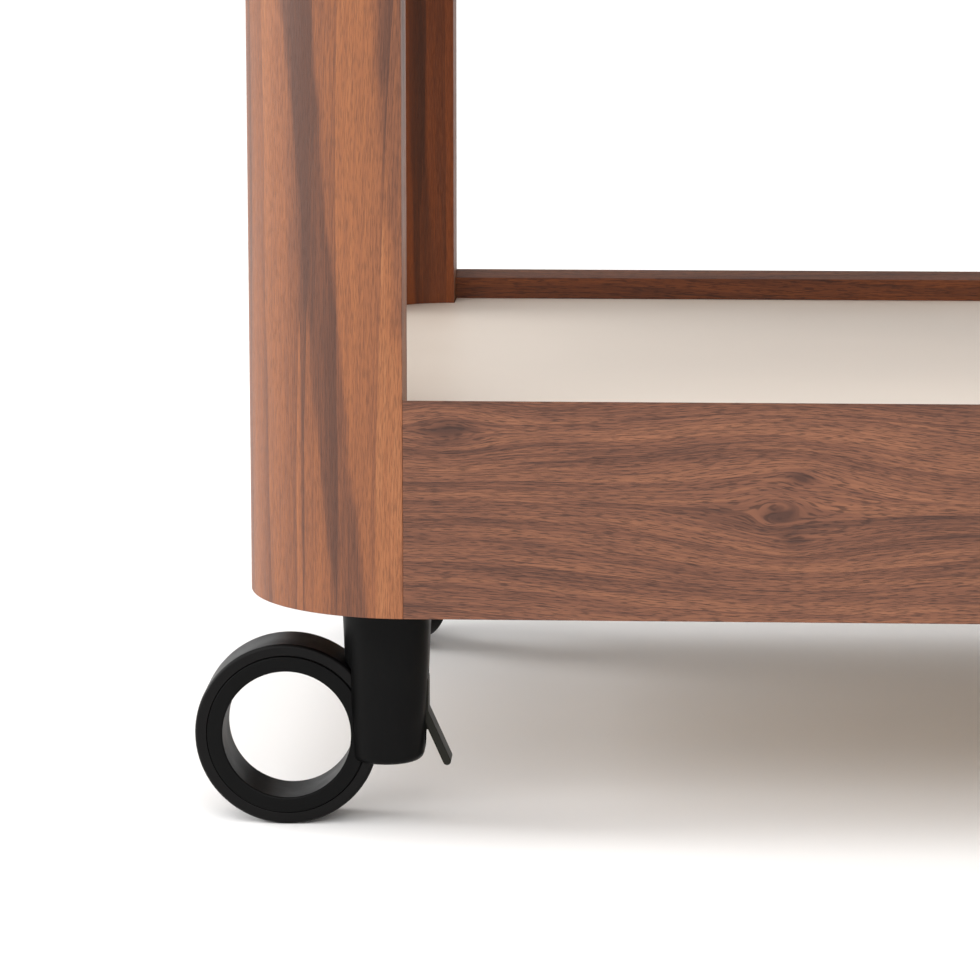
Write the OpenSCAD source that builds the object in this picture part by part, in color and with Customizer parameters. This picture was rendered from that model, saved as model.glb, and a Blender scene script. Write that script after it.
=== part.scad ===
// Rolling luggage rack: four quarter-round corner posts tied by two rings of thin rails,
// a recessed lower tray, a slatted upper deck, and four swivel casters with hubless wheels.
// Frame: origin on the floor below the middle of the rack, +X along its width,
// +Y from the front to the back, +Z up. The wheel of each caster is at rest where it trails.

/* [Frame] */
// Width over the corner posts
rack_w = 700; // [600:10:900]
// Depth over the corner posts
rack_d = 420; // [360:10:520]
// Height of the deck's top above the floor
deck_h = 515; // [470:5:620]
// Height of the frame's underside above the floor
frame_z = 95; // [92:1:110]
// Outer radius of the corner posts
corner_r = 66; // [60:1:80]
// Wall thickness of the corner posts
post_t = 30; // [24:1:32]
// Thickness of the rails
rail_t = 12; // [10:0.5:16]
// Height of the lower rails
lower_rail_h = 87; // [78:1:110]
// Height of the upper rails
upper_rail_h = 70; // [60:1:90]
// Fall of a rail's top towards the inside
rail_fall = 3; // [0:0.5:5]

/* [Tray] */
// Depth of the tray's surface below the lower rails' top
tray_drop = 13; // [6:0.5:20]
// Thickness of the laminate on the tray
surface_t = 2; // [1:0.5:3]
// Thickness of the tray board
board_t = 12; // [9:1:18]

/* [Deck] */
// Height of the slats' top above the upper rails
deck_rise = 4; // [0:0.5:8]
// Thickness of the slats
slat_t = 18; // [14:1:22]
// Gap between two slats, and between a slat and a rail
slat_gap = 12; // [6:1:20]
// Width of the bearers under the slats
bearer_w = 24; // [20:1:30]
// Height of the bearers under the slats
bearer_h = 30; // [24:1:36]
// Distance of the outer bearers from the middle of the rack
bearer_x = 220; // [180:5:230]

/* [Caster] */
// Outer radius of the tyre
tyre_r = 37.5; // [35:0.5:40]
// Width of the tyre
tyre_w = 27; // [22:0.5:30]
// Outer radius of the fixed ring that the tyre runs on
ring_r = 32.5; // [30.5:0.5:33]
// Radius of the open hole through the wheel
hole_r = 26.2; // [22:0.1:27]
// Distance of the wheel's centre behind the swivel axis
trail = 40.4; // [40:0.1:42]
// Radius of the housing at its top
housing_r = 18; // [17:0.5:20]
// Radius of the housing at its bottom
housing_foot_r = 15.2; // [15:0.1:17]
// Height of the housing's bottom above the floor
housing_z = 26.5; // [20:0.5:30]
// Radius of the spindle that the caster swivels on
spindle_r = 5; // [4:0.5:5]

/* [Brake] */
// Width of the brake lever
lever_w = 12; // [8:0.5:14]
// Thickness of the brake lever
lever_t = 3.3; // [2.5:0.1:4]
// Angle at which the lever's foot leans out
lever_lean = 24; // [15:1:30]
// Angle that the lever turns through when it is pressed
brake_angle = 8; // [5:1:9]

/* [Fits] */
// Radial clearance of parts that turn on each other
run_gap = 0.05; // [0.03:0.01:0.09]
// Gap between glued or pressed parts
seat_gap = 0.02; // [0.01:0.01:0.05]
// Gap around boards that fit into the frame
board_gap = 0.3; // [0.1:0.1:0.6]

/* [Hidden] */
$fn = 64;

walnut = [0.52, 0.35, 0.26];
cream = [0.84, 0.82, 0.78];
beech = [0.76, 0.62, 0.44];
black = [0.1, 0.1, 0.1];
steel = [0.7, 0.7, 0.72];
nylon = [0.88, 0.88, 0.85];
little = 0.1;                                 // reach of a cut past the face it starts at

// Frame
arc_x = rack_w / 2 - corner_r;                // middle of a corner's arc
arc_y = rack_d / 2 - corner_r;
post_in_r = corner_r - post_t;
rail_top = deck_h - deck_rise;                // top of the posts and the upper rails
lower_top = frame_z + lower_rail_h;
upper_z = rail_top - upper_rail_h;

// Tray and deck
surface_z = lower_top - tray_drop - surface_t;
board_z = surface_z - board_t;
slat_n = 6;
slat_z = deck_h - slat_t;
bearer_z = slat_z - bearer_h;
inner_d = rack_d - 2 * rail_t;
slat_w = (inner_d - (slat_n + 1) * slat_gap) / slat_n;
deck_gap = 4;                                 // room for the slats to swell at their ends

// Caster blocks, which stand in the corners and carry the casters
block_rise = 2;                               // height of a block above the frame's underside
block_z = frame_z + block_rise;
block_h = board_z - block_z;
block_reach = 40;                             // reach past the arc's middle

// Dowels and screws
dowel_r = 2.5;
dowel_l = 26;
bearer_dowel_l = 22;
bearer_dowel_bite = rail_t - 4;               // depth of a bearer dowel in its rail
dowel_play = 0.5;                             // free depth at each end of a dowel's hole
screw_r = 2;
screw_head_r = 4;
screw_head_h = 2.5;
screw_sink_r = 4.5;
slat_bite = 10;                               // depth of a screw in its slat
slat_sink = 5;
board_bite = 26;                              // depth of a board screw in its block
block_bite = rail_t - 4;                      // depth of a block screw in its rail
block_sink = 54;
block_screw_at = 20;                          // block screws' distance from the arc's middle
board_screw_at = [28, 35];                    // board screws' distances from the arc's middle

// Spindle, seen from the swivel axis on the floor
stem_in = [10, 10.1];                         // swivel axis outside the arc's middle, in X and Y
collar_r = 9;
collar_h = 3.5;
collar_z = block_z - collar_h;
stud_l = 26;
insert_r = 8;
insert_l = 20;
flange_r = 9.5;
flange_h = 1.2;
flange_gap = 0.3;                             // gap between the collar and the bush
housing_top = collar_z - flange_gap - flange_h;
bush_r = spindle_r + 2.5;
bore_z = 59.5;                                // bottom of the bush's bore in the housing
spindle_z = bore_z + 1.5;
clip_z = spindle_z + 1;
clip_h = 1.2;
clip_r = bush_r - 0.7;
groove_depth = 0.9;
bush_z = clip_z + clip_h + 0.3;

// Wheel and housing
ring_w = tyre_w + 1.2;                        // the ring stands proud of the tyre's sides
rib_r = ring_r + 0.9;                         // rib around the ring that keeps the tyre on
rib_w = 5;
rib_play = 0.1;                               // side play of the rib in the tyre's groove
slot_r = tyre_r + 1;
slot_half = ring_w / 2 + seat_gap;
edge = 1.2;                                   // bevel at the wheel's edges
foot_edge = 2;                                // bevel at the housing's foot
half_gap = slot_half - 8.6;                   // the housing's round ends stand this far apart
cheek_x = 13.8;                               // cut side of the cheeks that hold the ring
cheek_top = 66;
pin_r = 1;
pin_at = [trail - 29.95, 6];                  // ring pins ahead of the axis, above the centre
pin_front = slot_half + 1.25;
pin_back = slot_half + 1.9;

// Brake lever
pivot = [14.2, 58.5];                         // lever's pin in X and Z from the swivel axis
pivot_r = 1.5;
eye_r = 2.7;
lever_face = pivot[0] + eye_r;                // outer face of the upper part
bend_z = 46.2;
foot_l = 24;
nose_z = [38, 45.5];
nose_w = 8;
pad_gap = 0.35;                               // gap to the tyre when the lever is pressed
lever_room = 0.6;                             // width of the recess beyond the lever's
recess_x = pivot[0] - eye_r - 0.5;
recess_low_x = 12;
recess_z = [31, 42.5, 62];
channel_z = [36.5, 49.5];
pivot_pin_back = 10.5;
pivot_pin_front = lever_w / 2 + 2;
rest_turn = 60;                               // turn of the back casters at rest

// ---- Frame ----

// Puts what is drawn for the front left corner, from its arc's middle, at any corner
module at_corner(x_side, y_side) {
    mirror([x_side > 0 ? 1 : 0, 0, 0])
        mirror([0, y_side > 0 ? 1 : 0, 0])
            translate([-arc_x, -arc_y, 0])
                children();
}

module at_all_corners() {
    for (x_side = [-1, 1])
        for (y_side = [-1, 1])
            at_corner(x_side, y_side)
                children();
}

module round_bar(r, l) {
    cylinder(r = r, h = l);
}

// Rail section from its outer lower edge, with a top that falls inwards
module rail_section(h) {
    polygon([[0, 0], [rail_t, 0], [rail_t, h - rail_fall], [0, h]]);
}

module front_rail_body(h) {
    translate([-arc_x, -rack_d / 2, 0])
        rotate([90, 0, 90])
            linear_extrude(2 * arc_x)
                rail_section(h);
}

module left_rail_body(h) {
    translate([-rack_w / 2, arc_y, 0])
        rotate([90, 0, 0])
            linear_extrude(2 * arc_y)
                rail_section(h);
}

// The two dowels at each rail end, at heights above z that share the rail's height
function dowel_heights(z, h) = [z + h * 0.25, z + h * 0.72];

rail_rings = [[frame_z, lower_rail_h], [upper_z, upper_rail_h]];

// Dowels of one corner, from the corner's arc middle; play lengthens their holes
module corner_dowels(play) {
    for (ring = rail_rings)
        for (z = dowel_heights(ring[0], ring[1])) {
            translate([-dowel_l / 2 - play, rail_t / 2 - corner_r, z])
                rotate([0, 90, 0])
                    round_bar(dowel_r, dowel_l + 2 * play);
            translate([rail_t / 2 - corner_r, dowel_l / 2 + play, z])
                rotate([90, 0, 0])
                    round_bar(dowel_r, dowel_l + 2 * play);
        }
}

module all_dowel_holes() {
    at_all_corners()
        corner_dowels(dowel_play);
}

module post(x_side, y_side) {
    color(walnut)
        at_corner(x_side, y_side)
            difference() {
                translate([0, 0, frame_z])
                    linear_extrude(rail_top - frame_z)
                        intersection() {
                            difference() {
                                circle(r = corner_r, $fn = 128);
                                circle(r = post_in_r, $fn = 128);
                            }
                            translate([-corner_r, -corner_r])
                                square(corner_r);
                        }
                corner_dowels(dowel_play);
            }
}

// One bearer dowel, from the rail's inner face at the front, pointing to the back
module bearer_dowel(play) {
    translate([0, -inner_d / 2 - bearer_dowel_bite - play, 0])
        rotate([-90, 0, 0])
            round_bar(dowel_r, bearer_dowel_l + 2 * play);
}

module all_bearer_dowels(play) {
    for (x = [-bearer_x, 0, bearer_x])
        for (z = [bearer_z + bearer_h * 0.28, bearer_z + bearer_h * 0.72])
            for (y_side = [0, 1])
                translate([x, 0, z])
                    mirror([0, y_side, 0])
                        bearer_dowel(play);
}

// One block screw of the front left corner, into the front rail
module block_screw(head_l) {
    translate([0, block_reach - block_sink, 0])
        rotate([90, 0, 0])
            round_bar(screw_r, corner_r - rail_t + block_reach - block_sink + block_bite);
    translate([0, block_reach - block_sink + head_l, 0])
        rotate([90, 0, 0])
            round_bar(head_l > screw_head_h ? screw_sink_r : screw_head_r, head_l);
}

block_screw_z = [block_z + block_h * 0.32, block_z + block_h * 0.68];

// Both block screws of a corner; a long head makes their holes
module corner_block_screws(head_l) {
    translate([block_screw_at, 0, block_screw_z[0]])
        block_screw(head_l);
    mirror([1, -1, 0])
        translate([block_screw_at, 0, block_screw_z[1]])
            block_screw(head_l);
}

module lower_rail(side_rail, far_side) {
    color(walnut)
        difference() {
            translate([0, 0, frame_z])
                if (side_rail)
                    mirror([far_side, 0, 0])
                        left_rail_body(lower_rail_h);
                else
                    mirror([0, far_side, 0])
                        front_rail_body(lower_rail_h);
            all_dowel_holes();
            at_all_corners()
                corner_block_screws(screw_head_h);
        }
}

module upper_rail(side_rail, far_side) {
    color(walnut)
        difference() {
            translate([0, 0, upper_z])
                if (side_rail)
                    mirror([far_side, 0, 0])
                        left_rail_body(upper_rail_h);
                else
                    mirror([0, far_side, 0])
                        front_rail_body(upper_rail_h);
            all_dowel_holes();
            all_bearer_dowels(dowel_play);
        }
}

module rail_dowels() {
    color(beech)
        at_all_corners()
            corner_dowels(0);
}

module bearer_dowels() {
    color(beech)
        all_bearer_dowels(0);
}

// ---- Tray ----

// Inside of the frame in plan, with a gap to the posts and the rails
module inner_plan(gap) {
    square([2 * (arc_x - gap), rack_d - 2 * (rail_t + gap)], center = true);
    square([rack_w - 2 * (rail_t + gap), 2 * (arc_y - gap)], center = true);
    for (x = [-arc_x, arc_x])
        for (y = [-arc_y, arc_y])
            translate([x, y])
                circle(r = post_in_r - gap, $fn = 128);
}

// One board screw from the board's top down into the block
module board_screw() {
    translate([0, 0, surface_z - board_t - board_bite])
        round_bar(screw_r, board_t + board_bite - little);
    translate([0, 0, surface_z - screw_head_h - little])
        round_bar(screw_head_r, screw_head_h);
}

module corner_board_screws() {
    translate([board_screw_at[0], -board_screw_at[1], 0])
        board_screw();
    translate([-board_screw_at[1], board_screw_at[0], 0])
        board_screw();
}

module board_screws() {
    color(steel)
        at_all_corners()
            corner_board_screws();
}

module tray_board() {
    color(beech)
        difference() {
            translate([0, 0, board_z])
                linear_extrude(board_t)
                    inner_plan(board_gap);
            at_all_corners()
                corner_board_screws();
            at_all_corners()
                for (at = [[board_screw_at[0], -board_screw_at[1]],
                        [-board_screw_at[1], board_screw_at[0]]])
                    translate([at[0], at[1], surface_z - screw_head_h - little])
                        round_bar(screw_head_r, screw_head_h + 2 * little);
        }
}

module tray_surface() {
    color(cream)
        translate([0, 0, surface_z])
            linear_extrude(surface_t)
                inner_plan(board_gap);
}

// ---- Caster blocks ----

module block_plan() {
    reach = corner_r - rail_t - board_gap;
    translate([board_gap, -reach])
        square([block_reach - board_gap, reach + block_reach]);
    translate([-reach, board_gap])
        square([reach + block_reach, block_reach - board_gap]);
    circle(r = post_in_r - board_gap, $fn = 128);
}

module caster_block(x_side, y_side) {
    color(walnut)
        at_corner(x_side, y_side)
            difference() {
                translate([0, 0, block_z])
                    linear_extrude(block_h)
                        block_plan();
                translate([-stem_in[0], -stem_in[1], block_z - little]) {
                    round_bar(insert_r + seat_gap, insert_l + little);
                    round_bar(spindle_r + 0.5, stud_l + 2 * little + 2);
                }
                corner_board_screws();
                corner_block_screws(block_sink + little);
            }
}

module block_screws() {
    color(steel)
        at_all_corners()
            corner_block_screws(screw_head_h);
}

// ---- Deck ----

module deck_bearer(x) {
    color(walnut)
        difference() {
            translate([x - bearer_w / 2, -inner_d / 2 + board_gap, bearer_z])
                cube([bearer_w, inner_d - 2 * board_gap, bearer_h]);
            all_bearer_dowels(dowel_play);
            slat_screw_holes();
        }
}

function slat_y(i) = -inner_d / 2 + i * slat_gap + (i - 0.5) * slat_w;

// Reach of a slat from the middle of the rack; the outermost slats end inside the posts
function slat_reach(i) = i > 1 && i < slat_n ? rack_w / 2
    : arc_x + sqrt(pow(post_in_r - deck_gap, 2) - pow(deck_gap, 2));

module at_slat_screws() {
    for (x = [-bearer_x, 0, bearer_x])
        for (i = [1:slat_n])
            translate([x, slat_y(i), bearer_z])
                children();
}

module slat_screws() {
    color(steel)
        at_slat_screws() {
            translate([0, 0, slat_sink - screw_head_h])
                round_bar(screw_head_r, screw_head_h);
            translate([0, 0, slat_sink])
                round_bar(screw_r, bearer_h - slat_sink + slat_bite);
        }
}

module slat_screw_holes() {
    at_slat_screws() {
        translate([0, 0, -little])
            round_bar(screw_sink_r, slat_sink + little);
        round_bar(screw_r, bearer_h + slat_bite);
    }
}

module deck_slat(i) {
    color(walnut)
        difference() {
            translate([0, 0, slat_z])
                linear_extrude(slat_t)
                    intersection() {
                        inner_plan(deck_gap);
                        translate([-slat_reach(i), slat_y(i) - slat_w / 2])
                            square([2 * slat_reach(i), slat_w]);
                    }
            slat_screw_holes();
        }
}

// ---- Casters ----

// Puts a caster, drawn from its swivel axis on the floor, at its corner and rest turn
module at_caster(x_side, y_side) {
    mirror([x_side > 0 ? 1 : 0, 0, 0])
        translate([-arc_x - stem_in[0], y_side * (arc_y + stem_in[1]), 0])
            rotate([0, 0, y_side > 0 ? -rest_turn : 0])
                children();
}

module at_all_casters() {
    for (x_side = [-1, 1])
        for (y_side = [-1, 1])
            at_caster(x_side, y_side)
                children();
}

// Turns a shape drawn around +Z to lie around the wheel's axle line
module at_wheel() {
    translate([-trail, 0, tyre_r])
        rotate([90, 0, 0])
            children();
}

module threaded_inserts() {
    color("goldenrod")
        at_all_casters()
            translate([0, 0, block_z])
                difference() {
                    round_bar(insert_r, insert_l);
                    translate([0, 0, -little])
                        round_bar(spindle_r + seat_gap, insert_l + 2 * little);
                }
}

module caster_spindles() {
    color(steel)
        at_all_casters()
            difference() {
                union() {
                    translate([0, 0, spindle_z])
                        round_bar(spindle_r, block_z + stud_l - spindle_z);
                    translate([0, 0, collar_z])
                        round_bar(collar_r, collar_h);
                }
                translate([0, 0, clip_z - seat_gap])
                    difference() {
                        round_bar(spindle_r + little, clip_h + 2 * seat_gap);
                        translate([0, 0, -little])
                            round_bar(spindle_r - groove_depth, clip_h + 1);
                    }
            }
}

module spindle_clips() {
    color("dimgray")
        at_all_casters()
            translate([0, 0, clip_z])
                difference() {
                    round_bar(clip_r, clip_h);
                    translate([0, 0, -little])
                        round_bar(spindle_r - groove_depth + seat_gap, clip_h + 2 * little);
                }
}

module swivel_bush(x_side, y_side) {
    color(nylon)
        at_caster(x_side, y_side)
            difference() {
                union() {
                    translate([0, 0, bush_z])
                        round_bar(bush_r, housing_top - bush_z + flange_h);
                    translate([0, 0, housing_top])
                        round_bar(flange_r, flange_h);
                }
                translate([0, 0, bush_z - little])
                    round_bar(spindle_r + run_gap, housing_top - bush_z + flange_h + 2 * little);
            }
}

// Tapered round column with a bevelled foot
module housing_cone() {
    rotate_extrude($fn = 96)
        polygon([[0, housing_z], [housing_foot_r - foot_edge, housing_z],
            [housing_foot_r, housing_z + foot_edge], [housing_r, housing_top],
            [0, housing_top]]);
}

module housing_body() {
    for (y = [-half_gap, half_gap])
        translate([0, y, 0])
            housing_cone();
    rotate([90, 0, 0])
        linear_extrude(2 * half_gap, center = true)
            polygon([[housing_foot_r - foot_edge, housing_z],
                [housing_foot_r, housing_z + foot_edge], [housing_r, housing_top],
                [-housing_r, housing_top], [-housing_foot_r, housing_z + foot_edge],
                [-housing_foot_r + foot_edge, housing_z]]);
}

// The two cross pins that hold the ring between the housing's cheeks
module ring_pin_bars(gap) {
    for (z = [tyre_r - pin_at[1], tyre_r + pin_at[1]])
        translate([-pin_at[0], pin_back + gap, z])
            rotate([90, 0, 0])
                round_bar(pin_r + gap, pin_back + pin_front + 2 * gap);
}

module brake_recess() {
    width = lever_w + lever_room;
    translate([recess_x, -width / 2, recess_z[1]])
        cube([housing_r, width, recess_z[2] - recess_z[1]]);
    translate([recess_low_x, -width / 2, recess_z[0]])
        cube([housing_r, width, recess_z[1] - recess_z[0] + little]);
    translate([-trail, -nose_w / 2 - lever_room / 2, channel_z[0]])
        cube([trail + housing_r, nose_w + lever_room, channel_z[1] - channel_z[0]]);
    translate([pivot[0], housing_r + half_gap, pivot[1]])
        rotate([90, 0, 0])
            round_bar(pivot_r + seat_gap, housing_r + half_gap + pivot_pin_front + seat_gap);
}

module housing(x_side, y_side) {
    color(black)
        at_caster(x_side, y_side)
            difference() {
                housing_body();
                at_wheel()
                    translate([0, 0, -slot_half])
                        cylinder(r = slot_r, h = 2 * slot_half, $fn = 128);
                translate([-cheek_x - 2 * housing_r, -2 * housing_r, 0])
                    cube([2 * housing_r, 4 * housing_r, cheek_top]);
                translate([0, 0, bore_z])
                    round_bar(bush_r + seat_gap, housing_top);
                ring_pin_bars(seat_gap);
                translate([-pin_at[0], pin_back, tyre_r - pin_at[1]])
                    rotate([-90, 0, 0])
                        round_bar(pin_r + seat_gap, housing_r);
                translate([-pin_at[0], pin_back, tyre_r + pin_at[1]])
                    rotate([-90, 0, 0])
                        round_bar(pin_r + seat_gap, housing_r);
                if (y_side < 0)
                    brake_recess();
            }
}

module ring_pins(x_side, y_side) {
    color(steel)
        at_caster(x_side, y_side)
            ring_pin_bars(0);
}

// Half a band's section from r_in to r_out, w wide, with bevelled outer corners
module band_section(r_in, r_out, w, in_edge, out_edge) {
    polygon([[r_in, -w / 2 + in_edge], [r_in + in_edge, -w / 2],
        [r_out - out_edge, -w / 2], [r_out, -w / 2 + out_edge],
        [r_out, w / 2 - out_edge], [r_out - out_edge, w / 2],
        [r_in + in_edge, w / 2], [r_in, w / 2 - in_edge]]);
}

module wheel_ring(x_side, y_side) {
    color(black)
        at_caster(x_side, y_side)
            difference() {
                at_wheel()
                    rotate_extrude($fn = 128) {
                        band_section(hole_r, ring_r, ring_w, edge / 2, edge / 4);
                        translate([ring_r - 1, -rib_w / 2])
                            square([rib_r - ring_r + 1, rib_w]);
                    }
                ring_pin_bars(seat_gap);
            }
}

module tyre(x_side, y_side) {
    color(black)
        at_caster(x_side, y_side)
            at_wheel()
                rotate_extrude($fn = 128)
                    difference() {
                        band_section(ring_r + run_gap, tyre_r, tyre_w, edge / 4, edge);
                        translate([ring_r, -rib_w / 2 - rib_play])
                            square([rib_r + run_gap - ring_r, rib_w + 2 * rib_play]);
                    }
}

// Points of an arc around a middle, from one angle to another, in steps
function arc_points(middle, r, from, to, steps) =
    [for (i = [0:steps]) middle + r * [cos(from + (to - from) * i / steps),
        sin(from + (to - from) * i / steps)]];

// Middle of the lever's foot at a height
function foot_x(z) = lever_face - lever_t / 2 + (bend_z - z) * tan(lever_lean);

// Side view of the lever's plate in X and Z: the eye, the upper part, the bend and the foot
module lever_plate() {
    along = [sin(lever_lean), -cos(lever_lean)];
    inward = [-cos(lever_lean), -sin(lever_lean)];
    tip = [lever_face, bend_z] + (foot_l - lever_t / 2) * along + lever_t / 2 * inward;
    neck = asin((eye_r - lever_t) / eye_r);
    polygon(concat(
        arc_points(pivot, eye_r, 0, 270 + neck, 16),
        [[lever_face - lever_t, bend_z - lever_t * tan(lever_lean / 2)]],
        arc_points(tip, lever_t / 2, lever_lean + 180, lever_lean + 360, 8),
        [[lever_face, bend_z]]));
}

// Side view of the nose, whose end fits the tyre when the lever is pressed
module lever_nose() {
    difference() {
        polygon([[-trail / 2, nose_z[0]], [foot_x(nose_z[0]), nose_z[0]],
            [foot_x(nose_z[1]), nose_z[1]], [-trail / 2, nose_z[1]]]);
        translate([pivot[0], pivot[1]])
            rotate([0, 0, brake_angle])
                translate([-trail - pivot[0], tyre_r - pivot[1]])
                    circle(r = tyre_r + pad_gap, $fn = 128);
    }
}

module brake_lever(x_side) {
    color(black)
        at_caster(x_side, -1)
            difference() {
                rotate([90, 0, 0]) {
                    linear_extrude(lever_w, center = true)
                        lever_plate();
                    linear_extrude(nose_w, center = true)
                        lever_nose();
                }
                translate([pivot[0], lever_w, pivot[1]])
                    rotate([90, 0, 0])
                        round_bar(pivot_r + run_gap, 2 * lever_w);
            }
}

module brake_pin(x_side) {
    color(steel)
        at_caster(x_side, -1)
            translate([pivot[0], pivot_pin_back, pivot[1]])
                rotate([90, 0, 0])
                    round_bar(pivot_r, pivot_pin_back + pivot_pin_front);
}

post(-1, -1);  // post_front_left
post(1, -1);  // post_front_right
post(-1, 1);  // post_back_left
post(1, 1);  // post_back_right
lower_rail(false, 0);  // lower_rail_front
lower_rail(false, 1);  // lower_rail_back
lower_rail(true, 0);  // lower_rail_left
lower_rail(true, 1);  // lower_rail_right
upper_rail(false, 0);  // upper_rail_front
upper_rail(false, 1);  // upper_rail_back
upper_rail(true, 0);  // upper_rail_left
upper_rail(true, 1);  // upper_rail_right
tray_board();
tray_surface();
caster_block(-1, -1);  // caster_block_front_left
caster_block(1, -1);  // caster_block_front_right
caster_block(-1, 1);  // caster_block_back_left
caster_block(1, 1);  // caster_block_back_right
deck_bearer(-bearer_x);  // deck_bearer_left
deck_bearer(0);  // deck_bearer_middle
deck_bearer(bearer_x);  // deck_bearer_right
deck_slat(1);  // deck_slat_1
deck_slat(2);  // deck_slat_2
deck_slat(3);  // deck_slat_3
deck_slat(4);  // deck_slat_4
deck_slat(5);  // deck_slat_5
deck_slat(6);  // deck_slat_6
rail_dowels();
bearer_dowels();
slat_screws();
board_screws();
block_screws();
threaded_inserts();
caster_spindles();
spindle_clips();
housing(-1, -1);  // housing_front_left
housing(1, -1);  // housing_front_right
housing(-1, 1);  // housing_back_left
housing(1, 1);  // housing_back_right
swivel_bush(-1, -1);  // swivel_bush_front_left
swivel_bush(1, -1);  // swivel_bush_front_right
swivel_bush(-1, 1);  // swivel_bush_back_left
swivel_bush(1, 1);  // swivel_bush_back_right
wheel_ring(-1, -1);  // wheel_ring_front_left
wheel_ring(1, -1);  // wheel_ring_front_right
wheel_ring(-1, 1);  // wheel_ring_back_left
wheel_ring(1, 1);  // wheel_ring_back_right
tyre(-1, -1);  // tyre_front_left
tyre(1, -1);  // tyre_front_right
tyre(-1, 1);  // tyre_back_left
tyre(1, 1);  // tyre_back_right
ring_pins(-1, -1);  // ring_pins_front_left
ring_pins(1, -1);  // ring_pins_front_right
ring_pins(-1, 1);  // ring_pins_back_left
ring_pins(1, 1);  // ring_pins_back_right
brake_lever(-1);  // brake_lever_left
brake_lever(1);  // brake_lever_right
brake_pin(-1);  // brake_pin_left
brake_pin(1);  // brake_pin_right
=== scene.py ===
"""Looks of a rolling luggage rack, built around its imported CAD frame.

The visible wood, the laminate and the casters are rebuilt here with eased edges and
procedural materials. Small parts inside keep their CAD shape and only get a material.
Everything is in metres, in the frame's own axes: +X right, +Y back, +Z up, floor at 0.
"""

import math

import bmesh
import bpy
from mathutils import Matrix, Vector


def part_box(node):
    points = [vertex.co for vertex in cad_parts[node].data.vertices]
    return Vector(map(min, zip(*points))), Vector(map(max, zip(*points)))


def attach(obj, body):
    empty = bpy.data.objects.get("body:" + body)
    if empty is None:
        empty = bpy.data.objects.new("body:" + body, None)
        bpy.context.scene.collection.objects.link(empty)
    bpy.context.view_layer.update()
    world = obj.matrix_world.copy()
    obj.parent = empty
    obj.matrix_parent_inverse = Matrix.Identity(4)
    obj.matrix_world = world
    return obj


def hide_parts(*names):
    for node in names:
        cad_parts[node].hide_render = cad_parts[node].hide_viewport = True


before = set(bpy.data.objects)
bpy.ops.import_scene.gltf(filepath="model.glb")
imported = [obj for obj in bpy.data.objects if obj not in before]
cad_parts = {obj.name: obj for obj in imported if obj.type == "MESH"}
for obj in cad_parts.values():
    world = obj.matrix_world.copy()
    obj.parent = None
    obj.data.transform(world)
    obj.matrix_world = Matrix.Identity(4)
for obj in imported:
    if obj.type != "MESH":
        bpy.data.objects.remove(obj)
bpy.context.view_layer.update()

MM = 0.001
CORNERS = {
    "front_left": (-1, -1),
    "front_right": (1, -1),
    "back_left": (-1, 1),
    "back_right": (1, 1),
}

# ---- Measures that the frame gives ----

post_lo, post_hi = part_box("post_front_left")
rail_lo, rail_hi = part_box("lower_rail_front")
side_lo, side_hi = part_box("lower_rail_left")
# Each post curves around a point this far from the rack's middle
arc_x, arc_y = -post_hi.x, -post_hi.y
corner_r = post_hi.x - post_lo.x
rail_t = rail_hi.y - rail_lo.y
tray_lo, tray_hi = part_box("tray_surface")
tray_gap = tray_lo.y - rail_hi.y

# ---- Measures of the design that no box gives ----

POST_T = 30 * MM
RAIL_FALL = 3 * MM
DECK_GAP = 4 * MM
WOOD_EASE = 0.35 * MM
SLAT_EASE = 1.2 * MM
BEARER_EASE = 0.8 * MM
LAMINATE_EASE = 0.4 * MM

# ---- How finely shapes are drawn ----

ARC_STEPS = 40
EASE_STEPS = 3
RING_SEGMENTS = 144
ROD_SEGMENTS = 64
SAME_POINT = 1e-7
SAME_VERTEX = 1e-6
NO_LENGTH = 1e-9
# An outline moved in by the whole of its corners' radius would fold there
INSET_SHARE = 0.98


# ---- Flat outlines ----


def arc(middle, radius, start, end, steps=ARC_STEPS):
    """Points of an arc; the angles are in degrees."""
    angles = [math.radians(start + (end - start) * i / steps) for i in range(steps + 1)]
    return [
        Vector((middle[0] + radius * math.cos(a), middle[1] + radius * math.sin(a)))
        for a in angles
    ]


def area_of(outline):
    pairs = zip(outline, outline[1:] + outline[:1])
    return sum(a.x * b.y - b.x * a.y for a, b in pairs) / 2


def tidy(outline):
    """The outline anticlockwise, without points that lie on each other."""
    kept = [p for i, p in enumerate(outline) if (p - outline[i - 1]).length > SAME_POINT]
    return kept if area_of(kept) > 0 else kept[::-1]


def eased(outline, radius, least_turn=30):
    """Rounds the outline's sharp corners; the radius may be a function of the corner."""
    points = tidy(outline)
    made = []
    for i, p in enumerate(points):
        before = (points[i - 1] - p).normalized()
        after = (points[(i + 1) % len(points)] - p).normalized()
        turn = math.pi - before.angle(after)
        if turn < math.radians(least_turn):
            made.append(p)
            continue
        bend = radius(p) if callable(radius) else radius
        reach = bend * math.tan(turn / 2)
        middle = p + (before + after).normalized() * math.hypot(bend, reach)
        start, end = p + before * reach - middle, p + after * reach - middle
        for k in range(EASE_STEPS + 1):
            made.append(middle + start.lerp(end, k / EASE_STEPS).normalized() * bend)
    return made


def inset(outline, distance):
    """Moves each edge of an anticlockwise outline inwards by the distance."""
    made = []
    for i, p in enumerate(outline):
        before = (p - outline[i - 1]).normalized()
        after = (outline[(i + 1) % len(outline)] - p).normalized()
        normals = Vector((-before.y, before.x)) + Vector((-after.y, after.x))
        square = normals.length_squared
        made.append(p + normals * (2 * distance / square if square > NO_LENGTH else 0))
    return made


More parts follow.
